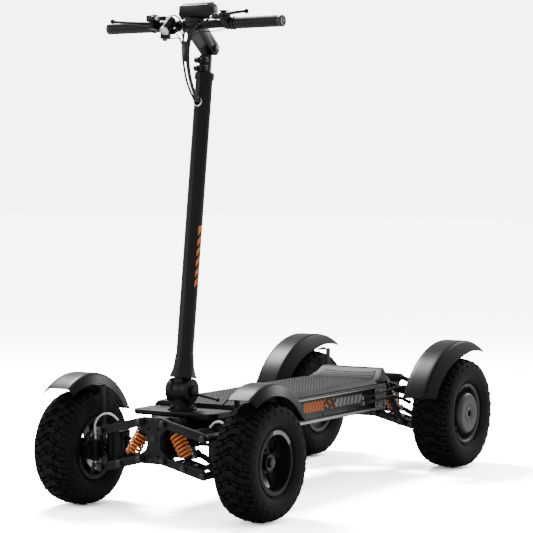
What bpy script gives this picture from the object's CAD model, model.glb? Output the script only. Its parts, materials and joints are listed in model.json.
"""Visible pieces of a four-wheeled stand-up scooter, built around its packed frame."""
import json
import math

import bmesh
import bpy
from bpy.props import FloatProperty, FloatVectorProperty, IntProperty, PointerProperty
from mathutils import Matrix, Vector


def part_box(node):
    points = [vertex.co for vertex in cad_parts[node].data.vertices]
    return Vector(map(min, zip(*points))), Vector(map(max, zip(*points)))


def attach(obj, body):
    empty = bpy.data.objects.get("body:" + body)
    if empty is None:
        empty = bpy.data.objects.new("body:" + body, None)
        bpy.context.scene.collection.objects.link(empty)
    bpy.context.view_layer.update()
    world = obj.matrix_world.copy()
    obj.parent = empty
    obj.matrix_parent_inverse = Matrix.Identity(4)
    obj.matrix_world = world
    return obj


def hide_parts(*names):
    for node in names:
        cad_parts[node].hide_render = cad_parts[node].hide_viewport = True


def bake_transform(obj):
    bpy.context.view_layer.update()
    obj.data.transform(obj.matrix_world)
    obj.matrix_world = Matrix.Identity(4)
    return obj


bl_info = {
    "name": "Stand-Up Scooter",
    "version": (1, 0, 0),
    "blender": (4, 5, 0),
    "location": "3D View > Sidebar > Scooter",
    "description": "Builds the visible pieces of a four-wheeled stand-up scooter",
    "category": "Add Mesh",
}

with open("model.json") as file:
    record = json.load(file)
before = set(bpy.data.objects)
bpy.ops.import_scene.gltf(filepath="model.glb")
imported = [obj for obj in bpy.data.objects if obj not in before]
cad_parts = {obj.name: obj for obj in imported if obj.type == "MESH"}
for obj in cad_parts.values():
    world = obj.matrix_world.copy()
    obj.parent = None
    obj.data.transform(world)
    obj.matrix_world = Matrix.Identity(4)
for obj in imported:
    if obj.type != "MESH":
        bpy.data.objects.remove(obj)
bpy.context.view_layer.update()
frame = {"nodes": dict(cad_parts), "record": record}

# Shapes are drawn in millimetres at stations measured back from the front axle, and are
# moved to the frame's place when they are published.
MM = 0.001


def centre_of(node):
    low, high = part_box(node)
    return (low + high) / 2 / MM


AXLE_ROW_Y = centre_of("tyre_fl").y


def station(point):
    return Vector((point.x, point.y - AXLE_ROW_Y, point.z))


CORNERS = {name: station(centre_of("tyre_" + name)) for name in ("fl", "fr", "rl", "rr")}
REAR_LIFT = CORNERS["rl"].z - CORNERS["fl"].z
SIDE = {"l": 1.0, "r": -1.0}
COLUMN_LEAN = math.radians(7.5)
COLUMN_DIR = Vector((0, math.sin(COLUMN_LEAN), math.cos(COLUMN_LEAN)))
FOLD_AXIS = Vector((0, 62.5, 311))
BAR_AXIS = Vector((0, 120, 1260.5))
SHOCK_TOP = Vector((40, -41, 230))
SHOCK_LOW = Vector((99, -41, 130))


def corner_base(corner):
    """Offset of a corner's suspension from the front left one, before mirroring."""
    return Vector((0, CORNERS[corner].y, REAR_LIFT if corner[0] == "r" else 0.0))


# ------------------------------------------------------------------ finishes
def shader_parts(name):
    material = bpy.data.materials.new(name)
    material.use_nodes = True
    nodes = material.node_tree.nodes
    return material, nodes, material.node_tree.links, nodes["Principled BSDF"]


def noise(nodes, links, vector, scale, detail=4.0, roughness=0.55):
    node = nodes.new("ShaderNodeTexNoise")
    node.inputs["Scale"].default_value = scale
    node.inputs["Detail"].default_value = detail
    node.inputs["Roughness"].default_value = roughness
    links.new(vector, node.inputs["Vector"])
    return node.outputs["Fac"]


def spread(nodes, links, value, low, high, start=0.3, stop=0.7):
    node = nodes.new("ShaderNodeMapRange")
    node.inputs["From Min"].default_value = start
    node.inputs["From Max"].default_value = stop
    node.inputs["To Min"].default_value = low
    node.inputs["To Max"].default_value = high
    links.new(value, node.inputs["Value"])
    return node.outputs["Result"]


def blended(nodes, links, factor, dark, light):
    node = nodes.new("ShaderNodeMix")
    node.data_type = "RGBA"
    node.inputs["A"].default_value = (*dark, 1)
    node.inputs["B"].default_value = (*light, 1)
    links.new(factor, node.inputs["Factor"])
    return node.outputs["Result"]


def finish(name, dark, light, rough, broad, fine, depth, metallic=0.0, stretch=(1, 1, 1),
           coat=0.0, specular=0.5):
    """A surface whose tone drifts broadly and whose gloss and relief vary finely."""
    material, nodes, links, shader = shader_parts(name)
    mapping = nodes.new("ShaderNodeMapping")
    mapping.inputs["Scale"].default_value = stretch
    coords = nodes.new("ShaderNodeTexCoord")
    links.new(coords.outputs["Object"], mapping.inputs["Vector"])
    vector = mapping.outputs["Vector"]
    tone = spread(nodes, links, noise(nodes, links, vector, broad), 0.0, 1.0)
    links.new(blended(nodes, links, tone, dark, light), shader.inputs["Base Color"])
    grain = noise(nodes, links, vector, fine, 3.0)
    links.new(spread(nodes, links, grain, rough[0], rough[1]), shader.inputs["Roughness"])
    bump = nodes.new("ShaderNodeBump")
    bump.inputs["Strength"].default_value = 0.5
    bump.inputs["Distance"].default_value = depth * MM
    links.new(grain, bump.inputs["Height"])
    links.new(bump.outputs["Normal"], shader.inputs["Normal"])
    shader.inputs["Metallic"].default_value = metallic
    shader.inputs["Coat Weight"].default_value = coat
    shader.inputs["Coat Roughness"].default_value = 0.25
    shader.inputs["Specular IOR Level"].default_value = specular
    return material


FINISHES = {}


def make_finishes():
    colours = bpy.context.scene.scooter_colours
    orange = tuple(colours.spring)
    alloy = tuple(colours.tray)
    faded = tuple(c * 0.8 for c in orange)
    FINISHES.update(
        tyre=finish("tyre_rubber", (0.0045, 0.0045, 0.0048), (0.009, 0.009, 0.009), (0.6, 0.8), 14, 900,
                    0.25, specular=0.12),
        fender=finish("fender_plastic", (0.0035, 0.0035, 0.0038), (0.006, 0.006, 0.0064), (0.3, 0.4),
                      9, 1400, 0.05, specular=0.1),
        powder=finish("black_powder_coat", (0.004, 0.004, 0.0042), (0.008, 0.008, 0.0084), (0.38, 0.55),
                      20, 1600, 0.12, specular=0.2),
        anodised=finish("black_anodised", (0.005, 0.005, 0.0054), (0.01, 0.01, 0.0108), (0.3, 0.45),
                        25, 1100, 0.05, metallic=0.3, specular=0.2),
        column=finish("column_black", (0.0035, 0.0035, 0.0037), (0.006, 0.006, 0.0064), (0.36, 0.48), 12,
                      1500, 0.08, specular=0.2),
        alloy=finish("tray_alloy", tuple(c * 0.82 for c in alloy), alloy, (0.3, 0.46), 9, 500, 0.05,
                     metallic=0.85, stretch=(6, 0.5, 6)),
        lip=finish("rim_lip_alloy", (0.2, 0.2, 0.205), (0.27, 0.27, 0.276), (0.42, 0.56), 30, 700,
                   0.04, metallic=0.25, specular=0.4),
        casing=finish("motor_casing", (0.036, 0.0365, 0.038), (0.052, 0.053, 0.056), (0.34, 0.48), 22,
                      900, 0.07, metallic=0.6),
        rim=finish("rim_dark_alloy", (0.007, 0.007, 0.0075), (0.013, 0.013, 0.014), (0.3, 0.45), 30,
                   900, 0.05, metallic=0.5, specular=0.25),
        spring=finish("spring_orange", faded, orange, (0.28, 0.42), 40, 900, 0.04, coat=0.3),
        steel=finish("bright_steel", (0.42, 0.42, 0.43), (0.6, 0.6, 0.62), (0.2, 0.34), 60, 1200,
                     0.02, metallic=1.0, stretch=(1, 1, 8)),
        bolt=finish("dark_zinc_bolts", (0.035, 0.035, 0.037), (0.07, 0.07, 0.073), (0.28, 0.4), 80, 900,
                    0.03, metallic=0.9),
        pad=finish("foot_pad_rubber", (0.008, 0.008, 0.0085), (0.015, 0.015, 0.0155), (0.45, 0.65), 16,
                   1200, 0.2, specular=0.25),
        grip=finish("grip_rubber", (0.007, 0.007, 0.007), (0.012, 0.012, 0.012), (0.35, 0.5), 30,
                    1200, 0.12, specular=0.3),
        trim=finish("trim_plastic", (0.005, 0.005, 0.0053), (0.01, 0.01, 0.0105), (0.3, 0.45), 30,
                    1500, 0.08, specular=0.3),
        cable=finish("cable_sheath", (0.003, 0.003, 0.003), (0.006, 0.006, 0.006), (0.2, 0.32), 40, 900,
                     0.03, specular=0.45),
        pale_hose=finish("clear_brake_hose", (0.62, 0.62, 0.62), (0.75, 0.75, 0.75), (0.25, 0.4), 60,
                         900, 0.02, coat=0.4),
        grey_mark=finish("grey_marking", (0.16, 0.16, 0.165), (0.22, 0.22, 0.225), (0.35, 0.5), 20, 900,
                         0.02),
        orange_mark=finish("orange_marking", faded, orange, (0.4, 0.55), 20, 900, 0.02),
        screen=finish("screen_glass", (0.004, 0.004, 0.006), (0.008, 0.008, 0.011), (0.05, 0.09), 10,
                      300, 0.0, coat=1.0),
        lens=finish("lamp_lens", (0.82, 0.83, 0.85), (0.95, 0.95, 0.96), (0.08, 0.16), 60, 400, 0.05,
                    coat=1.0),
        panel=finish("side_panel", (0.016, 0.016, 0.017), (0.026, 0.026, 0.028), (0.35, 0.5), 8, 1200,
                     0.05, stretch=(1, 0.4, 1)),
        pack=finish("battery_wrap", (0.05, 0.05, 0.06), (0.09, 0.09, 0.1), (0.3, 0.5), 12, 500, 0.05),
    )


# ------------------------------------------------------------------ shape tools
def all_parts(bm):
    return bm.verts[:] + bm.edges[:] + bm.faces[:]


def painted(bm, index):
    for face in bm.faces:
        face.material_index = index
    return bm


def join(*parts):
    """Gathers several meshes in one, keeping the finish that each was painted with."""
    whole = bmesh.new()
    for part in parts:
        mesh = bpy.data.meshes.new("part")
        part.to_mesh(mesh)
        part.free()
        whole.from_mesh(mesh)
        bpy.data.meshes.remove(mesh)
    return whole


def tidy(bm, distance=1e-3):
    bmesh.ops.remove_doubles(bm, verts=bm.verts[:], dist=distance)
    bmesh.ops.recalc_face_normals(bm, faces=bm.faces[:])
    return bm


def soften(bm, width, segments=2, angle=28.0):
    limit = math.radians(angle)
    sharp = [e for e in bm.edges if len(e.link_faces) == 2 and e.calc_face_angle(0.0) > limit]
    if sharp:
        bmesh.ops.bevel(bm, geom=sharp, offset=width, offset_type="OFFSET", segments=segments,
                        profile=0.5, affect="EDGES", clamp_overlap=True, material=-1)
    return bm


def lathe(profile, centre, axis=(1, 0, 0), steps=96, closed=True):
    """Turns an outline of (along, radius) points about a line through the centre."""
    bm = bmesh.new()
    axis = Vector(axis).normalized()
    outwards = axis.orthogonal().normalized()
    centre = Vector(centre)
    verts = [bm.verts.new(centre + axis * a + outwards * r) for a, r in profile]
    ends = verts[1:] + (verts[:1] if closed else [])
    edges = [bm.edges.new(pair) for pair in zip(verts, ends)]
    bmesh.ops.spin(bm, geom=verts + edges, cent=centre, axis=axis, dvec=(0, 0, 0),
                   angle=math.tau, steps=steps, use_merge=True, use_duplicate=False)
    return tidy(bm)


def slab(low, high):
    low, high = Vector(low), Vector(high)
    bm = bmesh.new()
    place = Matrix.Translation((low + high) / 2) @ Matrix.Diagonal((*(high - low), 1))
    bmesh.ops.create_cube(bm, size=1.0, matrix=place)
    bmesh.ops.recalc_face_normals(bm, faces=bm.faces[:])
    return bm


def prism(outline, axis, low, high):
    """Pushes a flat outline along X, Y or Z; its points are the other two coordinates."""
    bm = bmesh.new()
    k = "xyz".index(axis)
    verts = []
    for point in outline:
        spot = list(point)
        spot.insert(k, low)
        verts.append(bm.verts.new(spot))
    base = bm.faces.new(verts)
    grown = bmesh.ops.extrude_face_region(bm, geom=[base])
    push = Vector((0, 0, 0))
    push[k] = high - low
    moved = [v for v in grown["geom"] if isinstance(v, bmesh.types.BMVert)]
    bmesh.ops.translate(bm, verts=moved, vec=push)
    bmesh.ops.recalc_face_normals(bm, faces=bm.faces[:])
    return bm


def bar(start, end, r0, r1=None, segments=28):
    start, end = Vector(start), Vector(end)
    run = end - start
    turn = run.to_track_quat("Z", "Y").to_matrix().to_4x4()
    bm = bmesh.new()
    bmesh.ops.create_cone(bm, cap_ends=True, segments=segments, radius1=r0,
                          radius2=r0 if r1 is None else r1, depth=run.length,
                          matrix=Matrix.Translation((start + end) / 2) @ turn)
    return bm


def ball(centre, radius):
    bm = bmesh.new()
    bmesh.ops.create_uvsphere(bm, u_segments=20, v_segments=12, radius=radius,
                              matrix=Matrix.Translation(centre))
    return bm


def repeated(bm, centre, axis, count):
    """Copies what is in the mesh all the way round a line."""
    bmesh.ops.spin(bm, geom=all_parts(bm), cent=centre, axis=axis, dvec=(0, 0, 0),
                   angle=math.tau * (count - 1) / count, steps=count - 1, use_duplicate=True)
    return bm


def placed(bm, offset=(0, 0, 0), side=1.0):
    """Moves a left-hand shape to its corner and mirrors it for the right."""
    bmesh.ops.translate(bm, verts=bm.verts[:], vec=offset)
    if side < 0:
        bmesh.ops.scale(bm, verts=bm.verts[:], vec=(-1, 1, 1))
        bmesh.ops.reverse_faces(bm, faces=bm.faces[:])
    return bm


def arc(first, middle, last, count):
    """Points on the circle through three, without the first one."""
    (ax, ay), (bx, by), (cx, cy) = first, middle, last
    d = 2 * (ax * (by - cy) + bx * (cy - ay) + cx * (ay - by))
    a2, b2, c2 = ax * ax + ay * ay, bx * bx + by * by, cx * cx + cy * cy
    ux = (a2 * (by - cy) + b2 * (cy - ay) + c2 * (ay - by)) / d
    uy = (a2 * (cx - bx) + b2 * (ax - cx) + c2 * (bx - ax)) / d
    radius = math.hypot(ax - ux, ay - uy)
    start = math.atan2(ay - uy, ax - ux)
    turn = (math.atan2(cy - uy, cx - ux) - start + math.pi) % math.tau - math.pi
    spots = [start + turn * i / count for i in range(1, count + 1)]
    return [(ux + radius * math.cos(t), uy + radius * math.sin(t)) for t in spots]


def publish(bm, name, materials, body, replaces=(), in_row=False, smooth=32.0):
    """Makes the finished object: at the origin, riding its body, with its finishes."""
    if not in_row:
        bmesh.ops.translate(bm, verts=bm.verts[:], vec=(0, AXLE_ROW_Y, 0))
        bmesh.ops.scale(bm, verts=bm.verts[:], vec=(MM, MM, MM))
    mesh = bpy.data.meshes.new(name)
    bm.to_mesh(mesh)
    bm.free()
    for stale in ("custom_normal", "sharp_face"):
        if stale in mesh.attributes:
            mesh.attributes.remove(mesh.attributes[stale])
    mesh.polygons.foreach_set("use_smooth", [True] * len(mesh.polygons))
    mesh.set_sharp_from_angle(angle=math.radians(smooth))
    keys = materials if isinstance(materials, (list, tuple)) else [materials]
    for key in keys:
        mesh.materials.append(FINISHES[key])
    piece = bpy.data.objects.new(name, mesh)
    bpy.context.scene.collection.objects.link(piece)
    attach(piece, body)
    if replaces:
        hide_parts(*replaces)
    return piece


def body_of(node):
    for body, nodes in frame["record"]["behaviour"]["bodies"].items():
        if node in nodes:
            return body
    raise KeyError(node)


def softened(node, width, materials, zone=None, extra=()):
    """The CAD node with eased edges; zone picks a finish from a face's centre and normal."""
    bm = bmesh.new()
    bm.from_mesh(frame["nodes"][node].data)
    bmesh.ops.remove_doubles(bm, verts=bm.verts[:], dist=2e-6)
    bmesh.ops.dissolve_limit(bm, angle_limit=math.radians(0.8), verts=bm.verts[:],
                             edges=bm.edges[:], use_dissolve_boundaries=False)
    soften(bm, width * MM, 2, 35.0)
    for face in bm.faces:
        face.material_index = 0
        if zone:
            spot = face.calc_center_median() / MM
            spot.y -= AXLE_ROW_Y
            face.material_index = zone(spot, face.normal)
    if extra:
        addition = join(*extra)
        bmesh.ops.translate(addition, verts=addition.verts[:], vec=(0, AXLE_ROW_Y, 0))
        bmesh.ops.scale(addition, verts=addition.verts[:], vec=(MM, MM, MM))
        bm = join(bm, addition)
    return publish(bm, node + "_skin", materials, body_of(node), [node],
                   in_row=True)


def socket_head(centre, axis, radius=7.0, height=4.0):
    """A button-head bolt with its washer and hexagon socket, facing along the axis."""
    axis = Vector(axis).normalized()
    centre = Vector(centre)
    washer = soften(lathe([(0, 0), (0, radius * 1.3), (1.0, radius * 1.3), (1.0, 0)], centre, axis,
                          32, False), 0.2)
    dome = lathe([(1.0, 0), (1.0, radius), (height * 0.55, radius), (height, radius * 0.72),
                  (height, radius * 0.42), (height - 1.6, radius * 0.4), (height - 1.6, 0)],
                 centre, axis, 24, False)
    return join(washer, soften(dome, 0.3))


def cable(name, points, radius, finish_key, body=None, resolution=12):
    """A round cable on one smooth spline through the row frame, made a mesh tube."""
    curve = bpy.data.curves.new(name, "CURVE")
    curve.dimensions = "3D"
    spline = curve.splines.new("NURBS")
    spline.points.add(len(points) - 1)
    for knot, (x, y, z) in zip(spline.points, points):
        knot.co = (x * MM, (y + AXLE_ROW_Y) * MM, z * MM, 1)
    spline.order_u = 3
    spline.use_endpoint_u = True
    spline.resolution_u = resolution
    curve.bevel_depth = radius * MM
    curve.bevel_resolution = 3
    curve.use_fill_caps = True
    helper = bpy.data.objects.new(name + "_line", curve)
    bpy.context.scene.collection.objects.link(helper)
    graph = bpy.context.evaluated_depsgraph_get()
    mesh = bpy.data.meshes.new_from_object(helper.evaluated_get(graph))
    bpy.data.objects.remove(helper)
    mesh.name = name
    mesh.polygons.foreach_set("use_smooth", [True] * len(mesh.polygons))
    mesh.materials.clear()
    mesh.materials.append(FINISHES[finish_key])
    piece = bpy.data.objects.new(name, mesh)
    bpy.context.scene.collection.objects.link(piece)
    if body:
        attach(piece, body)
    return piece


# ------------------------------------------------------------------ tyres
class TyreShape:
    """Outline sizes of one tyre, measured across from its middle and out from its axle."""

    def __init__(self, crown_r, side_x, side_r, shoulder_x, shoulder_r, lip_x, lip_r):
        self.crown_r = crown_r
        self.side = (side_x, side_r)
        self.shoulder = (shoulder_x, shoulder_r)
        self.lip = (lip_x, lip_r)
        self.curve = shoulder_x ** 2 / (2 * (crown_r - shoulder_r))

    def top(self, x):
        """Radius of the tread's outer surface at a distance from the middle."""
        edge = self.shoulder[0] - 3.0
        return self.crown_r - x * x / (2 * self.curve) - max(0.0, abs(x) - edge) * 0.8

    def bend(self, x, s, height, side):
        """Where a point drawn flat on the tread lands on the round tyre."""
        radius = self.top(x) + height
        turn = s / self.crown_r
        return Vector((x * side, radius * math.sin(turn), radius * math.cos(turn)))


FRONT_TYRE = TyreShape(151.2, 57.0, 113, 50.2, 142.2, 42.85, 83.5)
REAR_TYRE = TyreShape(163.6, 62.8, 122, 55.2, 154.4, 45.7, 89.5)


def carcass(shape, lug):
    lip_x, lip_r = shape.lip
    foot_r = lip_r - 8.2
    edge = (shape.shoulder[0] + 0.8, shape.shoulder[1] - 3.5)
    right = [(lip_x, foot_r), (lip_x, lip_r)] + arc(shape.lip, shape.side, edge, 12)
    deep = [(x, shape.top(x) - lug) for x in (shape.shoulder[0] - 2, 36, 22, 8)]
    outline = right + deep
    outline += [(-x, r) for x, r in reversed(outline)]
    inner_x = lip_x - 9.0
    outline += [(-inner_x, foot_r), (-inner_x, lip_r), (inner_x, lip_r), (inner_x, foot_r)]
    return lathe(outline, (0, 0, 0), steps=120)


def tread_block(outline, shape, lug, side):
    """One rubber block with a sunk middle, bent on to the tyre's crown."""
    bm = bmesh.new()
    verts = [bm.verts.new((x, s, -lug - 1.0)) for x, s in outline]
    base = bm.faces.new(verts)
    base.normal_update()
    if base.normal.z < 0:
        base.normal_flip()
    grown = bmesh.ops.extrude_face_region(bm, geom=[base])
    lifted = [v for v in grown["geom"] if isinstance(v, bmesh.types.BMVert)]
    bmesh.ops.translate(bm, verts=lifted, vec=(0, 0, lug + 1.0))
    top = [f for f in grown["geom"] if isinstance(f, bmesh.types.BMFace)]
    bmesh.ops.delete(bm, geom=[base], context="FACES")
    bmesh.ops.inset_region(bm, faces=top, thickness=1.1, depth=0.0)
    bmesh.ops.inset_region(bm, faces=top, thickness=2.0, depth=0.0)
    bmesh.ops.inset_region(bm, faces=top, thickness=1.1, depth=-1.9)
    for vert in bm.verts:
        vert.co = shape.bend(*vert.co, side)
    return tidy(bm, 1e-4)


def tread_outlines(shape, pitch):
    """The blocks of one repeat: a chevron in the middle, slanted blocks and shoulder lugs."""
    edge = shape.shoulder[0]
    mid = edge * 0.34
    outer = edge * 0.72
    half = pitch / 2
    chevron = [(-mid, -9), (-7, 0), (7, 0), (mid, -9), (mid, 4), (9, 13), (-9, 13), (-mid, 4)]
    slant = [(mid + 3.5, -12), (outer, -19), (outer, -5), (mid + 3.5, 3)]
    lug = [(outer + 3, -19), (edge + 2, -24), (edge + 7, -24), (edge + 7, -10), (edge + 2, -9),
           (outer + 3, -6)]
    small = [(outer - 6, half - 15), (edge - 2, half - 19), (edge + 4, half - 20),
             (edge + 4, half - 12), (edge - 2, half - 9), (outer - 6, half - 5)]
    link = [(5, half + 1), (mid - 3, half - 5), (mid + 6, half - 9), (mid + 6, half - 3),
            (mid - 3, half + 1), (5, half + 6)]
    return [chevron], [slant, lug, small, link]


def tyre(corner, shape, lug, rows):
    pitch = math.tau * shape.crown_r / rows
    middle, flanks = tread_outlines(shape, pitch)
    blocks = [tread_block(o, shape, lug, 1.0) for o in middle]
    for side in (1.0, -1.0):
        blocks += [tread_block(o, shape, lug, side) for o in flanks]
    tread = repeated(join(*blocks), (0, 0, 0), (1, 0, 0), rows)
    bmesh.ops.recalc_face_normals(tread, faces=tread.faces[:])
    ribs = []
    for sign in (1.0, -1.0):
        for r in (shape.lip[1] + 4.0, shape.side[1] + 14.0):
            x = (shape.side[0] - 0.9) - ((r - shape.side[1]) / 31.0) ** 2 * 9.5
            ribs.append(lathe([(sign * (x - 2.0), r - 1.6), (sign * (x + 0.7), r),
                               (sign * (x - 2.0), r + 1.6)], (0, 0, 0), steps=96))
    whole = join(carcass(shape, lug), tread, *ribs)
    bmesh.ops.translate(whole, verts=whole.verts[:], vec=CORNERS[corner])
    return publish(whole, "tread_tyre_" + corner, "tyre", "wheel_" + corner,
                   ["tyre_" + corner], smooth=38)


# ------------------------------------------------------------------ wheels
def front_rim(corner):
    side = SIDE[corner[1]]
    hub = CORNERS[corner]

    def zone(spot, normal):
        x = (spot.x - hub.x) * side
        r = math.hypot(spot.y - hub.y, spot.z - hub.z)
        if r > 69.0 and x > 38.0:
            return 1
        if x < -46.0 and 24.0 < r < 58.0:
            return 2
        return 0

    extras = []
    for k in range(5):
        a = math.radians(72 * k)
        spot = hub + Vector((side * 17.4, 30 * math.sin(a), 30 * math.cos(a)))
        extras.append(painted(socket_head(spot, (side, 0, 0), 4.4, 4.6), 3))
    ring = lathe([(27.2, 12.5), (27.2, 20.5), (29.2, 20.5), (29.2, 12.5)], (0, 0, 0), steps=64)
    extras.append(painted(placed(soften(ring, 0.4), (abs(hub.x), hub.y, hub.z), side), 3))
    softened("rim_" + corner, 0.7, ["rim", "lip", "steel", "bolt"], zone, extras)


def motor_wheel(corner):
    """Wide rim round a hub motor's cover, with the groove between them and its slots."""
    side = SIDE[corner[1]]
    hub = CORNERS[corner]
    barrel = lathe([(-49.3, 77.5), (-49.3, 88), (-45.8, 88), (-45.8, 81), (45.8, 81), (45.8, 88),
                    (49.3, 88), (49.3, 84.5), (47.0, 80.5), (40, 77.5)], (0, 0, 0), steps=120)
    dish = lathe([(-40, 21), (-40, 78), (22, 78), (20, 72), (19, 64), (19, 50), (-34, 50),
                  (-34, 21)], (0, 0, 0), steps=96)
    cover = lathe([(18, 0), (18, 60.5), (24, 62), (44, 62)]
                  + arc((44, 62), (54, 57.5), (57.2, 47), 8)
                  + [(57.8, 30), (57.6, 26.5), (56.4, 25.8), (56.4, 24.6), (57.9, 24), (57.9, 11.5),
                     (57.0, 10), (51.0, 9.6), (51.0, 0)], (0, 0, 0), steps=120, closed=False)
    notches = painted(slab((40, -5, 76), (46.6, 5, 80.5)), 2)
    notches = repeated(notches, (0, 0, 0), (1, 0, 0), 3)
    backing = lathe([(-41.5, 9.2), (-41.5, 34), (-40, 36), (-40, 9.2)], (0, 0, 0), steps=64)
    parts = [painted(soften(barrel, 0.8), 0), painted(soften(dish, 0.8), 2),
             painted(cover, 1), notches, painted(soften(backing, 0.4), 3)]
    whole = placed(join(*parts), (abs(hub.x), hub.y, hub.z), side)
    publish(whole, "motor_wheel_" + corner, ["casing", "casing", "rim", "steel"],
            "wheel_" + corner, ["rim_" + corner])


# ------------------------------------------------------------------ fenders
def fender_shell(crest, skirt, crest_half, skirt_half, taper_from, steps=36):
    """A crest strip with two skirts that hang to arcs of their own; each arc is
    (centre y, centre z, radius, first angle, last angle). Past taper_from, a share of the
    length, the skirts narrow to the crest's tip."""
    bm = bmesh.new()

    def sweep(spec, spots):
        y, z, radius, first, last = spec
        a = math.radians(first)
        start = [(x, y + radius * math.cos(a), z + radius * math.sin(a)) for x in spots]
        verts = [bm.verts.new(p) for p in start]
        edges = [bm.edges.new(pair) for pair in zip(verts, verts[1:])]
        known = set(bm.edges) - set(edges)
        bmesh.ops.spin(bm, geom=verts + edges, cent=(0, y, z), axis=(1, 0, 0),
                       dvec=(0, 0, 0), angle=math.radians(last - first), steps=steps)
        return [e for e in bm.edges if e not in known]

    third = crest_half * 0.55
    sweep(crest, (-crest_half, -third, third, crest_half))
    for side in (-1.0, 1.0):
        rim = [e for e in bm.edges if len(e.link_faces) == 1
               and all(abs(v.co.x - side * crest_half) < 0.01 for v in e.verts)]
        lower = sweep(skirt, (side * skirt_half,))
        sy, sz, _, first, last = skirt
        for vert in {v for e in lower for v in e.verts}:
            angle = math.degrees(math.atan2(vert.co.z - sz, vert.co.y - sy))
            part = (angle - first) / (last - first)
            pull = max(0.0, part - taper_from) / (1.0 - taper_from) * 0.85
            tip = math.radians(crest[3] + (crest[4] - crest[3]) * part)
            edge = Vector((side * (crest_half + 3.0), crest[0] + crest[2] * math.cos(tip),
                           crest[1] + crest[2] * math.sin(tip)))
            vert.co = vert.co.lerp(edge, pull ** 1.4)
        bmesh.ops.bridge_loops(bm, edges=rim + lower)
    tidy(bm)
    crease = [e for e in bm.edges if len(e.link_faces) == 2
              and all(abs(abs(v.co.x) - crest_half) < 0.01 for v in e.verts)]
    bmesh.ops.bevel(bm, geom=crease, offset=7.0, offset_type="OFFSET", segments=4, profile=0.5,
                    affect="EDGES", clamp_overlap=True, material=-1)
    tidy(bm)
    if sum(f.normal.z for f in bm.faces) < 0:
        bmesh.ops.reverse_faces(bm, faces=bm.faces[:])
    bmesh.ops.solidify(bm, geom=bm.faces[:], thickness=2.6)
    bmesh.ops.recalc_face_normals(bm, faces=bm.faces[:])
    return soften(bm, 0.6, 1, 60)


FRONT_CREST = (2, 164, 186, 125, 24)
FRONT_SKIRT = (-16, 147, 174, 119, 31)
REAR_CREST = (-1, 95, 286, 152, 60)
REAR_SKIRT = (-1, 95, 241, 147, 66)


def fender(corner):
    side = SIDE[corner[1]]
    hub = CORNERS[corner]
    if corner[0] == "f":
        shell = fender_shell(FRONT_CREST, FRONT_SKIRT, 35.0, 51.0, 0.9)
        root, root_z, top_z, body = 206.0, 170.0, 321.0, "knuckle_" + corner
    else:
        shell = fender_shell(REAR_CREST, REAR_SKIRT, 35.5, 49.0, 0.6)
        root, root_z, top_z, body = 172.0, 190.0, 338.0, "upright_" + corner
    bmesh.ops.translate(shell, verts=shell.verts[:], vec=(abs(hub.x), 0, 0))
    skirt_x = abs(hub.x) - 46.0
    strip = soften(slab((root, -11, root_z), (root + 4, 11, top_z)), 0.8)
    shelf = soften(slab((root, -11, top_z - 4), (skirt_x, 11, top_z)), 0.8)
    bolts = [socket_head((skirt_x - 14, y, top_z), (0, 0, 1), 3.6, 3.2) for y in (-5.5, 5.5)]
    rows = [socket_head((root + 4, y, root_z + 6), (1, 0, 0), 3.6, 3.2) for y in (-5.5, 5.5)]
    parts = [painted(shell, 0), painted(strip, 1), painted(shelf, 1)]
    parts += [painted(b, 2) for b in bolts + rows]
    whole = placed(join(*parts), (0, hub.y, 0), side)
    publish(whole, "mudguard_" + corner, ["fender", "powder", "bolt"], body,
            ["fender_" + corner], smooth=24)


# ------------------------------------------------------------------ suspension
COIL_TURNS = 6.5
COIL_WIRE_R = 3.3
COIL_MEAN_R = 16.3
COIL_START = 21.2
COIL_END_GAP = 29.2


def coil(corner):
    """Round-wire spring with closed ends, laid along its shock."""
    run = SHOCK_LOW - SHOCK_TOP
    length = run.length
    axis = run.normalized()
    start, stop = COIL_START, length - COIL_END_GAP
    out = Vector((0, 1, 0))
    origin = SHOCK_TOP + axis * start
    bm = bmesh.new()
    tangent = axis.cross(out)
    turn = Matrix((out, axis, tangent)).transposed().to_4x4()
    bmesh.ops.create_circle(bm, cap_ends=False, segments=14, radius=COIL_WIRE_R,
                            matrix=Matrix.Translation(origin + out * COIL_MEAN_R) @ turn)
    steps = int(COIL_TURNS * 30)
    bmesh.ops.spin(bm, geom=all_parts(bm), cent=origin, axis=axis,
                   dvec=axis * ((stop - start) / steps), angle=math.tau * COIL_TURNS, steps=steps)
    bmesh.ops.holes_fill(bm, edges=[e for e in bm.edges if e.is_boundary], sides=0)
    tidy(bm)
    whole = placed(bm, corner_base(corner), SIDE[corner[1]])
    publish(whole, "coil_" + corner, "spring", "shock_body_" + corner,
            ["spring_" + corner])


def suspension_corner(corner):
    base = corner_base(corner)
    side = SIDE[corner[1]]
    front = corner[0] == "f"

    def heads(spots, axis=(0, -1, 0), radius=6.6, paint=1):
        found = []
        for spot in spots:
            found.append(painted(placed(socket_head(spot, axis, radius, 4.5), base, side), paint))
        return found

    softened("upper_arm_" + corner, 0.9, ["powder", "bolt"])
    softened("lower_arm_" + corner, 0.9, ["powder", "bolt"],
             extra=heads([(99, -86.2, 130)]))
    upright = ("carrier_" if front else "upright_") + corner
    softened(upright, 0.9, ["anodised", "bolt"],
             extra=heads([(158, -87.2, 210.5), (158, -87.2, 115.5)]))
    softened("shock_body_" + corner, 0.6, ["anodised"])
    softened("shock_rod_" + corner, 0.6, ["bolt", "anodised"],
             lambda spot, normal: 0 if spot_near_shaft(spot - base, side) else 1)
    coil(corner)
    if front:
        softened("tie_rod_" + corner, 0.5, ["anodised"])
        knuckle(corner, base, side)
    else:
        strut(corner, base, side)


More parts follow.
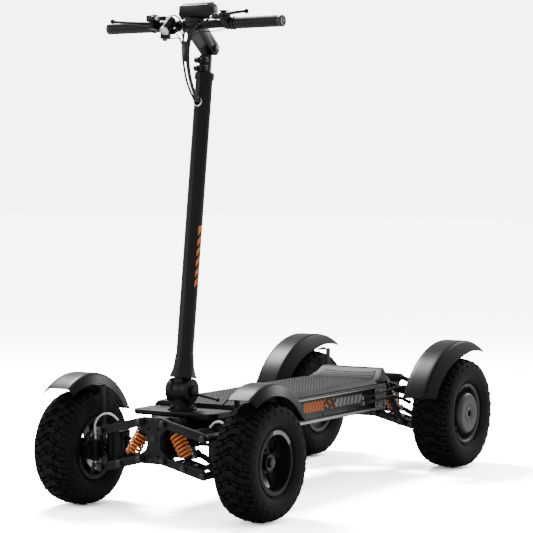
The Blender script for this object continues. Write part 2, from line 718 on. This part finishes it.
def flat_link(start, end, width, y0, y1):
    """A flat bar with round ends between two (x, z) points."""
    (xa, za), (xb, zb) = start, end
    lean = math.atan2(zb - za, xb - xa)
    ring = []
    for (x, z), first in (((xb, zb), -90), ((xa, za), 90)):
        for k in range(9):
            a = lean + math.radians(first + k * 22.5)
            ring.append((x + width / 2 * math.cos(a), z + width / 2 * math.sin(a)))
    return soften(prism(ring, "y", y0, y1), 0.8)


def strut(corner, base, side):
    """Flat two-part strut in front of a rear shock, with a large eye at its foot."""
    top = placed(flat_link((74, 245), (108, 176), 15, -94.5, -88.5), base, side)
    cap = placed(socket_head((74, -94.5, 245), (0, -1, 0), 5.0, 3.6), base, side)
    publish(join(painted(top, 0), painted(cap, 1)), "strut_top_" + corner, ["powder", "bolt"],
            "shock_body_" + corner)
    low = flat_link((94, 204), (131, 129), 19, -101, -95.5)
    foot = soften(bar((131, -105, 129), (131, -90, 129), 13.5, segments=48), 1.2)
    eye = socket_head((131, -105, 129), (0, -1, 0), 6.2, 3.4)
    parts = [painted(placed(piece, base, side), paint)
             for piece, paint in ((low, 0), (foot, 0), (eye, 1))]
    publish(join(*parts), "strut_low_" + corner, ["powder", "bolt"], "shock_rod_" + corner)


def spot_near_shaft(spot, side):
    point = Vector((spot.x * side, spot.y, spot.z))
    run = (SHOCK_LOW - SHOCK_TOP).normalized()
    along = (point - SHOCK_TOP).dot(run)
    return (point - SHOCK_TOP - run * along).length < 5.6


def knuckle(corner, base, side):
    """Knuckle with its caliper; the pale hose and its fittings are picked out."""

    def zone(spot, normal):
        x = spot.x * side
        if math.hypot(x - 206, spot.y + 36) < 6.0 and 180.5 < spot.z < 196.0:
            return 1
        if spot.z > 194.0 and (spot.z > 199 or spot.y < -20):
            return 2
        if x > 305.6:
            return 3
        return 0

    drain = painted(placed(bar((206, -36, 119), (206, -36, 126), 4.6), base, side), 1)
    plate = soften(slab((186.0, -30, 138), (193.5, -16, 168)), 1.0)
    plate = painted(placed(plate, base, side), 0)
    bolts = []
    for z in (145, 160):
        head = placed(socket_head((185.9, -23, z), (-1, 0, 0), 4.0, 3.4), base, side)
        bolts.append(painted(head, 3))
    softened("knuckle_" + corner, 0.8, ["anodised", "steel", "pale_hose", "bolt"], zone,
             [drain, plate, *bolts])


def bulkheads():
    screws = []
    for end in ("front", "rear"):
        y = -69.0 if end == "front" else CORNERS["rl"].y - 69.0
        lift = 0.0 if end == "front" else REAR_LIFT
        screws = [painted(socket_head((x, y - 17.0, z + lift), (0, -1, 0), 6.4, 4.2), 1)
                  for x in (-36.0, 36.0) for z in (146.0, 241.0)]
        screws += [painted(socket_head((x, y, z + lift), (0, -1, 0), 3.4, 2.6), 1)
                   for x in (-9.0, 9.0) for z in (143.0, 246.0)]
        screws.append(painted(socket_head((0, y - 2.0, 199 + lift), (0, -1, 0), 5.2, 2.6), 1))
        softened("bulkhead_" + end, 1.0, ["powder", "bolt"], extra=screws)


# ------------------------------------------------------------------ deck
def side_panel(side):
    """Dark web panel with its honeycomb, slanted bars, screws and connector bay."""
    parts = [painted(soften(slab((112.2, 118, 199), (114.0, 829, 247)), 0.5), 0)]
    cell = 9.6
    for col in range(21):
        for row in range(3):
            y = 495 + col * cell * 0.9
            z = 217 + row * cell + (cell / 2 if col % 2 else 0)
            if col > 12 and (col + row) % 3:
                continue
            hexagon = [(y + 4.1 * math.cos(a), z + 4.1 * math.sin(a))
                       for a in (math.radians(60 * k) for k in range(6))]
            parts.append(painted(prism(hexagon, "x", 113.9, 114.4), 1))
    for k in range(7):
        y = 668 + k * 22.0
        mark = [(y, 216), (y + 15, 216), (y + 24, 240), (y + 9, 240)]
        parts.append(painted(prism(mark, "x", 113.9, 114.4), 2))
    for y in (150, 300, 450, 600, 750, 815):
        for z in (203, 243):
            parts.append(painted(socket_head((114.0, y, z), (1, 0, 0), 2.8, 2.2), 3))
    bay = soften(slab((112.2, 831, 199), (113.2, 884, 247)), 0.4)
    parts.append(painted(bay, 4))
    for y, z in ((842, 212), (838, 228), (866, 220)):
        plug = lathe([(0, 0), (0, 8), (5, 8), (6, 6.4), (10, 6.4), (11, 5), (11, 0)],
                     (113, y, z), (1, 0, 0), 28, False)
        parts.append(painted(soften(plug, 0.3), 4))
    plate = soften(slab((124.0, 886, 193), (127.0, 931, 252)), 0.8)
    parts.append(painted(plate, 5))
    for z in (203, 241):
        parts.append(painted(socket_head((127.0, 896, z), (1, 0, 0), 3.2, 2.4), 3))
    whole = placed(join(*parts), (0, 0, 0), side)
    name = "side_panel_" + ("left" if side > 0 else "right")
    publish(whole, name, ["panel", "orange_mark", "grey_mark", "bolt", "trim", "alloy"], "chassis")


def standing_mat():
    """Moulded mat: bevelled block with rows of raised lozenges."""
    z0, z1 = 260.7, 274.2
    wide, narrow = 128.0, 117.0
    body = prism([(-wide, z0), (wide, z0), (wide, z0 + 4), (narrow, z1), (-narrow, z1),
                  (-wide, z0 + 4)], "y", 123.0, 895.0)
    bmesh.ops.recalc_face_normals(body, faces=body.faces[:])
    soften(body, 1.5, 3)
    rows = []
    pitch_x, pitch_y = 9.2, 8.0
    for row in range(94):
        y = 133.0 + row * pitch_y
        shift = pitch_x / 2 if row % 2 else 0.0
        for col in range(-12, 13 - row % 2):
            x = col * pitch_x + shift
            stud = [(x - 3.9, y), (x, y - 4.6), (x + 3.9, y), (x, y + 4.6)]
            rows.append((stud, z1))
    studs = bmesh.new()
    for stud, z in rows:
        verts = [studs.verts.new((x, y, z - 0.4)) for x, y in stud]
        studs.faces.new(verts)
    tops = bmesh.ops.extrude_discrete_faces(studs, faces=studs.faces[:])["faces"]
    bmesh.ops.translate(studs, verts=[v for f in tops for v in f.verts], vec=(0, 0, 1.4))
    bmesh.ops.inset_individual(studs, faces=tops, thickness=0.7, depth=0.3)
    bmesh.ops.recalc_face_normals(studs, faces=studs.faces[:])
    return join(body, studs)


def kick_pad():
    """Ramp that rises to a rounded crest, with long ribs and softened corners."""
    z0 = 260.7
    outline = [(896, z0), (896, 273)]
    outline += arc((896, 273), (935, 279), (968, 299), 10)
    outline += arc((968, 299), (986, 303), (1001, 299), 6)
    outline += [(1009, 290), (1009, z0)]
    bm = prism(outline, "x", -116, 116)
    for x in (-100, -80, -50, 0, 50, 80, 100):
        bmesh.ops.bisect_plane(bm, geom=all_parts(bm), plane_co=(x, 0, 0), plane_no=(1, 0, 0))
    for vert in bm.verts:
        back = max(0.0, vert.co.y - 930.0) / 80.0
        vert.co.x *= 1.0 - 0.14 * back - (0.07 * back if vert.co.z > 285 else 0.0)
    bmesh.ops.recalc_face_normals(bm, faces=bm.faces[:])
    soften(bm, 3.0, 3, 40)
    ribs = []
    for k in range(7):
        start = 903 + 8.5 * k
        rib = slab((-100 + 2 * k, start - 1.8, -2), (100 - 2 * k, start + 1.8, 1.5))
        soften(rib, 0.8)
        for x in range(-90, 91, 15):
            bmesh.ops.bisect_plane(rib, geom=all_parts(rib), plane_co=(x, 0, 0),
                                   plane_no=(1, 0, 0))
        for vert in rib.verts:
            vert.co.y += 9.0 * (abs(vert.co.x) / 100.0) ** 3
            vert.co.z += 273.0 + 26.0 * max(0.0, (vert.co.y - 896.0) / 72.0) ** 2.3
        ribs.append(rib)
    crest = slab((-64, 972, 298), (64, 976, 302.4))
    ribs.append(soften(crest, 1.2))
    return join(bm, *ribs)


def deck():
    def tray_zone(spot, normal):
        return 1 if abs(spot.x) < 107 or (abs(spot.x) < 112.2 and spot.y > 111) else 0

    softened("deck_tray", 0.7, ["alloy", "panel"], tray_zone)
    seam = []
    for y in (24, 44, 100):
        for x in (-96, 96):
            seam.append(painted(socket_head((x, y, 260.5), (0, 0, 1), 4.0, 1.4), 1))
    softened("deck_plate", 1.2, ["anodised", "bolt"], extra=seam)
    publish(join(standing_mat(), kick_pad()), "standing_mat", "pad", "chassis",
            ["foot_pads"], smooth=30)
    edging = []
    for x in (-128.5, 128.5):
        edging.append(bar((x, 123, 258.5), (x, 940, 258.5), 2.4, segments=12))
    publish(join(*edging), "deck_edging", "trim", "chassis")
    softened("power_pack", 1.5, ["pack"])
    for side in (1.0, -1.0):
        side_panel(side)


# ------------------------------------------------------------------ column
def on_column(distance):
    return FOLD_AXIS + COLUMN_DIR * distance


def wrapped_mark(outline, radius, centre_angle, lift=0.35):
    """A thin marking bent round the column; its points are (around, along) in mm."""
    bm = bmesh.new()
    verts = [bm.verts.new((u, v, 0)) for u, v in outline]
    bm.faces.new(verts)
    for k in range(-5, 6):
        bmesh.ops.bisect_plane(bm, geom=all_parts(bm), plane_co=(k * 4.0, 0, 0),
                               plane_no=(1, 0, 0))
    grown = bmesh.ops.extrude_face_region(bm, geom=bm.faces[:])
    top = [v for v in grown["geom"] if isinstance(v, bmesh.types.BMVert)]
    bmesh.ops.translate(bm, verts=top, vec=(0, 0, lift))
    across = Vector((1, 0, 0))
    behind = COLUMN_DIR.cross(across)
    for vert in bm.verts:
        u, v, h = vert.co
        a = centre_angle + u / radius
        vert.co = on_column(v) + (across * math.cos(a) + behind * math.sin(a)) * (radius + h)
    bmesh.ops.recalc_face_normals(bm, faces=bm.faces[:])
    return bm


def column():
    bell = [(33.4, 0), (33.4, 38)] + arc((33.4, 38), (48, 31.0), (70, 26.2), 8)
    bell += [(96, 23.2), (98, 22.3), (98, 0)]
    flare = lathe(bell, FOLD_AXIS, COLUMN_DIR, 72, False)
    parts = [painted(soften(flare, 1.2, 3, 40), 0)]
    top = 817.0
    band = lathe([(top - 0.5, 20), (top - 0.5, 25.2), (top + 1, 25.8), (top + 15, 25.8),
                  (top + 17.5, 24.2), (top + 17.5, 17)], FOLD_AXIS, COLUMN_DIR, 72)
    parts.append(painted(soften(band, 0.4), 0))
    port = on_column(758) + Vector((0, -24.0, 0))
    ring = lathe([(-1.2, 10.2), (-1.2, 13.2), (1.4, 13.2), (1.4, 10.2)], port, (0, 1, 0), 40)
    parts.append(painted(soften(ring, 0.6), 1))
    for k in range(6):
        v = 268 + k * 27
        mark = [(-9, v), (9, v + 22), (9, v + 38), (-9, v + 16)]
        if k == 5:
            mark = [(-9, v), (9, v + 22), (9, v + 30), (-9, v + 26)]
        parts.append(painted(wrapped_mark(mark, 22.5, 0.0), 2))
    stripe = [(6, 452), (10, 460), (9, 520), (4, 596), (2.5, 596), (4, 520)]
    parts.append(painted(wrapped_mark(stripe, 22.5, 0.0), 3))
    for d in (846.0, 868.0):
        _, y, z = on_column(d)
        for sign in (-1, 1):
            spot = (sign * 17.4, y - 21.0, z)
            parts.append(painted(socket_head(spot, (sign, 0, 0), 5.6, 3.6), 4))
            spot = (sign * 7.0, y - 26.4, z)
            parts.append(painted(ball(spot, 5.4), 0))
    softened("column", 0.8, ["column", "steel", "orange_mark", "grey_mark", "bolt"], extra=parts)
    disc = lathe([(0, 0), (0, 28.5), (1.2, 28.5), (2.2, 27), (2.2, 0)],
                 (-32, FOLD_AXIS.y, FOLD_AXIS.z), (-1, 0, 0), 64, False)
    caps = [painted(soften(disc, 0.3), 0)]
    strap = lathe([(-11, 30.6), (-11, 32.2), (11, 32.2), (11, 30.6)], FOLD_AXIS, (1, 0, 0), 72)
    bmesh.ops.bisect_plane(strap, geom=all_parts(strap), plane_co=FOLD_AXIS,
                           plane_no=(0, 0, 1), clear_outer=True)
    caps.append(painted(strap, 0))
    softened("fold_base", 1.0, ["column", "bolt"], extra=caps)
    softened("fold_lever", 0.6, ["powder"])


# ------------------------------------------------------------------ cockpit
def grip_sleeves():
    parts = []
    for sign in (-1.0, 1.0):
        profile = [(122, 11.3), (122, 17.4), (126.5, 17.4), (127.5, 14.2)]
        for k in range(30):
            x = 130 + k * 4.3
            profile += [(x, 14.4), (x + 1.0, 15.15), (x + 2.6, 15.15), (x + 3.6, 14.4)]
        profile += [(262, 14.4), (262, 11.3)]
        sleeve = lathe([(sign * x, r) for x, r in profile], (0, BAR_AXIS.y, BAR_AXIS.z), steps=40)
        parts.append(painted(sleeve, 0))
        ring = lathe([(sign * x, r) for x, r in ((261, 11.3), (261, 15.2), (270.5, 15.2),
                                                 (272, 13.8), (272, 9))],
                     (0, BAR_AXIS.y, BAR_AXIS.z), steps=40)
        parts.append(painted(soften(ring, 0.5), 1))
        plug = lathe([(sign * x, r) for x, r in ((266, 0), (266, 9.2), (271, 9.2), (271.5, 7),
                                                 (271.5, 0))],
                     (0, BAR_AXIS.y, BAR_AXIS.z), steps=32, closed=False)
        parts.append(painted(plug, 0))
    publish(join(*parts), "grip_sleeves", ["grip", "bolt"], "stem", ["grips"])


def lever_skin(side, node, pivot_z, reach, rise):
    """Curved brake blade: an eye, a waisted arm and a ball end."""
    px, y = side * 110.0, 92.0
    spots = [(0, 0, 7.2, 5.4), (16, -7, 6.2, 5.2), (34, -16, 5.6, 4.6), (60, -18.5, 6.6, 4.0),
             (85, -19, 5.0, 3.8), (reach - 12, -18.5, 3.6, 3.6), (reach - 4, -18, 4.2, 4.2)]
    spots = [s for s in spots if s[0] <= reach]
    bm = bmesh.new()
    previous = None
    for along, dy, wide, tall in spots:
        lift = rise * along / reach
        place = Matrix.Translation((px + side * along, y + dy, pivot_z + lift))
        shape = place @ Matrix.Rotation(math.pi / 2, 4, "Y") @ Matrix.Diagonal((tall, wide, 1, 1))
        made = bmesh.ops.create_circle(bm, cap_ends=False, segments=20, radius=1.0, matrix=shape)
        loop = {e for v in made["verts"] for e in v.link_edges}
        if previous:
            bmesh.ops.bridge_loops(bm, edges=list(previous | loop))
        previous = loop
    bmesh.ops.holes_fill(bm, edges=[e for e in bm.edges if e.is_boundary], sides=0)
    tidy(bm)
    tip = ball((px + side * reach, y - 18, pivot_z + rise), 6.4)
    eye = soften(bar((px, y, pivot_z - 6), (px, y, pivot_z + 6), 8.0), 0.8)
    screw = socket_head((px, y, pivot_z + 6.2), (0, 0, 1), 3.6, 2.4)
    parts = [painted(p, 0) for p in (bm, tip, eye)] + [painted(screw, 1)]
    publish(join(*parts), node + "_blade", ["anodised", "bolt"], node, [node],
            smooth=50)


def cockpit():
    def display_zone(spot, normal):
        inside = abs(spot.x + 4.5) < 41 and spot.z > 1280
        return 1 if inside and spot.y > 148 and normal.y > 0.9 else 0

    softened("display", 2.6, ["trim", "screen"], display_zone)
    softened("display_button", 0.3, ["trim"])
    hood = prism([(-46, 1284), (46, 1284), (52, 1292), (46, 1317), (-46, 1317), (-52, 1292)], "y",
                 122.0, 131.0)
    bmesh.ops.rotate(hood, verts=hood.verts[:], cent=(0, 142, 1298),
                     matrix=Matrix.Rotation(math.radians(12), 3, "X"))
    publish(painted(soften(hood, 3.0, 3), 0), "display_back", ["trim"], "stem")
    softened("stem", 1.6, ["anodised", "bolt"],
             lambda spot, normal: 1 if abs(spot.x) > 20.6 and spot.y > 180 else 0)
    silver = []
    for spot, axis, radius, height in (((-100, 84, 1285), (0, -0.2, 1), 5.5, 6.0),
                                       ((-90, 83, 1279), (0, -1, 0), 4.6, 5.0),
                                       ((92, 100, 1283), (0, -0.6, 0.8), 4.2, 5.0),
                                       ((84, 104, 1279), (-1, 0, 0), 3.8, 5.0)):
        silver.append(painted(socket_head(spot, axis, radius, height), 1))
    box = soften(slab((-124, 80, 1272), (-92, 96, 1288)), 2.0)
    left = soften(slab((70, 96, 1271), (104, 112, 1285)), 2.5)
    adjuster = bar((62, 104, 1277), (72, 104, 1278), 3.4, 4.4)
    clamp = lathe([(112, 11.2), (112, 16.4), (118.5, 16.4), (118.5, 11.2)],
                  (0, BAR_AXIS.y, BAR_AXIS.z), steps=40)
    extra = [painted(box, 0), painted(left, 0), painted(adjuster, 1),
             painted(soften(clamp, 0.8), 0), *silver]
    softened("handlebar", 0.7, ["anodised", "steel"], extra=extra)
    softened("thumb_throttle", 1.0, ["trim"])
    grip_sleeves()
    lever_skin(-1.0, "brake_lever_right", 1263.5, 117.0, 12.0)
    lever_skin(1.0, "brake_lever_left", 1281.0, 80.0, 4.0)
    front = Vector((-51, 58, 1243))
    aim = Vector((0, 0.751, 0.661)).normalized()

    def lamp_zone(spot, normal):
        along = (spot - front).dot(aim)
        off = (spot - front - aim * along).length
        return 1 if along < 5.6 and off < 10.2 and normal.y < 0 else 0

    bezel = lathe([(-0.6, 9.6), (-0.6, 12.4), (2.4, 12.6), (2.4, 9.6)], front, aim, 40)
    fins = [lathe([(28 + 4 * k, 11.5), (28 + 4 * k, 12.5), (30 + 4 * k, 12.5), (30 + 4 * k, 11.5)],
                  front, aim, 40) for k in range(4)]
    extra = [painted(soften(bezel, 0.4), 2)] + [painted(f, 0) for f in fins]
    softened("headlight", 0.5, ["anodised", "lens", "steel"], lamp_zone, extra)


# ------------------------------------------------------------------ cables
def bar_loom():
    """Cables from the bar that hang in front of the stem and enter the column's port."""
    for k, x in enumerate((-7.5, 0.0, 7.5)):
        bow = (3.0, -3.0, 1.0)[k]
        points = [(x * 1.6, 97.5 - bow, 1246), (x * 1.4, 87 - bow, 1220),
                  (x * 1.1, 82 - bow, 1185), (x * 0.9, 87 - bow, 1148), (x * 0.85, 99 - bow, 1112),
                  (x * 0.82, 117 - bow * 0.5, 1082), (x * 0.8, 136, 1062)]
        piece = cable("bar_loom_%d" % k, points, 2.9, "cable")
        if k == 0:
            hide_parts("bar_cables")
        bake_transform(piece)
    runs = [
        ("lamp_lead", [(-48, 92, 1262), (-40, 96, 1252), (-26, 94, 1246), (-14, 90, 1232),
                       (-8, 86, 1212)], 1.6),
        ("lamp_lead_low", [(-60, 96, 1250), (-44, 90, 1240), (-28, 84, 1234), (-16, 82, 1222),
                           (-10, 84, 1200)], 1.6),
        ("brake_line_left", [(66, 104, 1277), (44, 96, 1264), (20, 90, 1250), (8, 88, 1232),
                             (4, 86, 1210)], 2.0),
        ("switch_lead_left", [(104, 112, 1248), (86, 100, 1240), (56, 96, 1240), (28, 92, 1240),
                              (12, 88, 1224), (6, 84, 1200)], 1.4),
        ("brake_line_right", [(-70, 90, 1279), (-52, 104, 1290), (-30, 100, 1276),
                              (-14, 92, 1252), (-8, 86, 1226)], 2.0),
        ("throttle_lead", [(-78, 104, 1230), (-60, 100, 1224), (-36, 92, 1228), (-18, 86, 1222),
                           (-10, 84, 1198)], 1.5),
    ]
    for name, points, radius in runs:
        cable(name, points, radius, "cable", "stem")
    sleeve = lathe([(-26, 8.2), (-26, 9.4), (26, 9.4), (26, 8.2)], (0, 83.5, 1190),
                   (0, 0.05, 1), 24)
    publish(soften(sleeve, 0.5), "loom_sleeve", ["cable"], "stem")


def row(x, y, z):
    return (x * MM, (y + AXLE_ROW_Y) * MM, z * MM)


def motor_leads():
    out = 117.0
    thick = [(out, 842, 212), (out + 6, 868, 213), (out + 22, 900, 219), (out + 31, 946, 224),
             (out + 37, 990, 216), (out + 48, 1030, 199)]
    thin = [(out, 838, 228), (out + 7, 866, 230), (out + 24, 902, 239), (out + 33, 948, 249),
            (out + 41, 992, 251), (out + 55, 1030, 244)]
    first = None
    for side, word in ((1.0, "left"), (-1.0, "right")):
        for name, route, radius in (("motor_lead", thick, 4.0), ("sensor_lead", thin, 2.4)):
            points = [(side * x, y, z) for x, y, z in route]
            piece = cable("%s_%s" % (name, word), points, radius, "cable", "chassis")
            first = first or piece
            plug = bar(points[-2], points[-1], radius + 0.4, radius + 2.0, 20)
            publish(soften(plug, 0.4), "%s_plug_%s" % (name, word), ["trim"], "chassis")
    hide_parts("motor_leads")


# ------------------------------------------------------------------ stage
WORLD_STRENGTH = 0.9
BACKDROP_STRENGTH = 6.3
# the floor only looks this bright to the camera, so it doesn't light the scooter from below
FLOOR_GAIN = 8.0
FLOOR_REFLECTANCE = 0.55
FLOOR_HALF = 40
CAMERA_AZIMUTH = math.radians(31.41)
CAMERA_ELEVATION = math.radians(2.38)
CAMERA_PLACE = (2.8961, -4.8329, 0.8493)
CAMERA_LENS = 135.6
# name, place, target, size, power
LAMPS = (("overhead_softbox", (-1.9, 0.9, 3.3), (0, 0.1, 0.2), 1.0, 330),
         ("rear_strip", (1.2, 3.4, 2.0), (0, 0, 0.5), 1.2, 50),
         ("front_fill", (-2.6, -3.4, 1.8), (0, 0, 0.6), 0.8, 30))


def stage():
    floor = bmesh.new()
    bmesh.ops.create_grid(floor, x_segments=1, y_segments=1, size=FLOOR_HALF)
    mesh = bpy.data.meshes.new("floor")
    floor.to_mesh(mesh)
    floor.free()
    material, nodes, links, shader = shader_parts("floor_paper")
    shader.inputs["Base Color"].default_value = (*[FLOOR_REFLECTANCE] * 3, 1)
    shader.inputs["Roughness"].default_value = 1.0
    shader.inputs["Specular IOR Level"].default_value = 0.0
    bright = nodes.new("ShaderNodeBsdfDiffuse")
    bright.inputs["Color"].default_value = (*[FLOOR_GAIN] * 3, 1)
    seen = nodes.new("ShaderNodeLightPath")
    either = nodes.new("ShaderNodeMixShader")
    links.new(seen.outputs["Is Camera Ray"], either.inputs["Fac"])
    links.new(shader.outputs["BSDF"], either.inputs[1])
    links.new(bright.outputs["BSDF"], either.inputs[2])
    links.new(either.outputs["Shader"], nodes["Material Output"].inputs["Surface"])
    mesh.materials.append(material)
    ground = bpy.data.objects.new("floor", mesh)
    bpy.context.scene.collection.objects.link(ground)

    world = bpy.data.worlds.new("studio")
    world.use_nodes = True
    world.node_tree.nodes["Background"].inputs["Color"].default_value = (1, 1, 1, 1)
    world.node_tree.nodes["Background"].inputs["Strength"].default_value = WORLD_STRENGTH
    nodes, links = world.node_tree.nodes, world.node_tree.links
    backdrop = nodes.new("ShaderNodeBackground")
    backdrop.inputs["Color"].default_value = (1, 1, 1, 1)
    backdrop.inputs["Strength"].default_value = BACKDROP_STRENGTH
    sight = nodes.new("ShaderNodeLightPath")
    choice = nodes.new("ShaderNodeMixShader")
    links.new(sight.outputs["Is Camera Ray"], choice.inputs["Fac"])
    links.new(nodes["Background"].outputs["Background"], choice.inputs[1])
    links.new(backdrop.outputs["Background"], choice.inputs[2])
    links.new(choice.outputs["Shader"], nodes["World Output"].inputs["Surface"])
    bpy.context.scene.world = world

    for name, place, target, size, power in LAMPS:
        light = bpy.data.lights.new(name, "AREA")
        light.size = size
        light.energy = power
        lamp = bpy.data.objects.new(name, light)
        lamp.location = place
        lamp.rotation_euler = (Vector(place) - Vector(target)).to_track_quat("Z", "Y").to_euler()
        bpy.context.scene.collection.objects.link(lamp)

    level = math.cos(CAMERA_ELEVATION)
    right = Vector((math.cos(CAMERA_AZIMUTH), math.sin(CAMERA_AZIMUTH), 0))
    back = Vector((right.y * level, -right.x * level, math.sin(CAMERA_ELEVATION)))
    camera_data = bpy.data.cameras.new("camera")
    camera_data.lens = CAMERA_LENS
    camera_data.sensor_width = 36.0
    camera_data.clip_end = 200.0
    camera = bpy.data.objects.new("camera", camera_data)
    turn = Matrix((right, back.cross(right), back)).transposed().to_4x4()
    camera.matrix_world = Matrix.Translation(CAMERA_PLACE) @ turn
    bpy.context.scene.collection.objects.link(camera)
    bpy.context.scene.camera = camera


# ------------------------------------------------------------------ sizes that a user changes
class ScooterTyreSettings(bpy.types.PropertyGroup):
    front_rows: IntProperty(name="Front tread rows", description="Repeats round a front tyre",
                            default=26, min=12, max=40)
    rear_rows: IntProperty(name="Rear tread rows", description="Repeats round a rear tyre",
                           default=28, min=12, max=40)
    lug_depth: FloatProperty(name="Lug depth", description="Height of the tread blocks",
                             default=0.0105, min=0.003, max=0.012, unit="LENGTH")


class ScooterColourSettings(bpy.types.PropertyGroup):
    spring: FloatVectorProperty(name="Spring", description="Colour of springs and markings",
                                default=(0.66, 0.15, 0.008), subtype="COLOR", min=0, max=1)
    tray: FloatVectorProperty(name="Tray", description="Colour of the bare alloy",
                              default=(0.46, 0.465, 0.48), subtype="COLOR", min=0, max=1)


def step(identifier, label, text, work):
    """An operator class that does one group of pieces."""

    def execute(self, context):
        work()
        return {"FINISHED"}

    return type("SCOOTER_OT_" + identifier, (bpy.types.Operator,),
                {"bl_idname": "scooter." + identifier, "bl_label": label, "__doc__": text,
                 "execute": execute})


def build_tyres():
    sizes = bpy.context.scene.scooter_tyres
    lug = sizes.lug_depth / MM
    for corner in CORNERS:
        front = corner[0] == "f"
        shape = FRONT_TYRE if front else REAR_TYRE
        tyre(corner, shape, lug, sizes.front_rows if front else sizes.rear_rows)


def build_wheels():
    for corner in CORNERS:
        if corner[0] == "f":
            front_rim(corner)
        else:
            motor_wheel(corner)


def build_fenders():
    for corner in CORNERS:
        fender(corner)


def build_suspension():
    bulkheads()
    for corner in CORNERS:
        suspension_corner(corner)


def build_cables():
    bar_loom()
    motor_leads()


STEPS = (
    step("finishes", "Finishes", "Make every surface finish", make_finishes),
    step("tyres", "Tyres", "Four knobbly tyres", build_tyres),
    step("wheels", "Wheels", "Front rims and rear hub-motor wheels", build_wheels),
    step("fenders", "Fenders", "Four fenders on their stays", build_fenders),
    step("suspension", "Suspension", "Bulkheads, arms, uprights, shocks and springs",
         build_suspension),
    step("deck", "Deck", "Tray, deck plate, mat, kick pad and side panels", deck),
    step("column", "Column", "Folding joint, column and its markings", column),
    step("cockpit", "Cockpit", "Stem, bar, grips, levers, display and lamp", cockpit),
    step("cables", "Cables", "Bar loom and motor leads", build_cables),
    step("stage", "Stage", "Floor, lights and camera", stage),
)


class SCOOTER_PT_panel(bpy.types.Panel):
    """Lists the scooter's pieces in the order that they are made"""
    bl_label = "Scooter"
    bl_idname = "SCOOTER_PT_panel"
    bl_space_type = "VIEW_3D"
    bl_region_type = "UI"
    bl_category = "Scooter"

    def draw(self, context):
        sizes = context.scene.scooter_tyres
        colours = context.scene.scooter_colours
        for key in ("front_rows", "rear_rows", "lug_depth"):
            self.layout.prop(sizes, key)
        for key in ("spring", "tray"):
            self.layout.prop(colours, key)
        for operator in STEPS:
            self.layout.operator(operator.bl_idname)


CLASSES = (ScooterTyreSettings, ScooterColourSettings, *STEPS, SCOOTER_PT_panel)


def register():
    for item in CLASSES:
        bpy.utils.register_class(item)
    bpy.types.Scene.scooter_tyres = PointerProperty(type=ScooterTyreSettings)
    bpy.types.Scene.scooter_colours = PointerProperty(type=ScooterColourSettings)


def unregister():
    del bpy.types.Scene.scooter_colours
    del bpy.types.Scene.scooter_tyres
    for item in reversed(CLASSES):
        bpy.utils.unregister_class(item)


def main():
    register()
    for operator in STEPS:
        getattr(bpy.ops.scooter, operator.bl_idname.split(".")[1])()


if __name__ == "__main__":
    main()
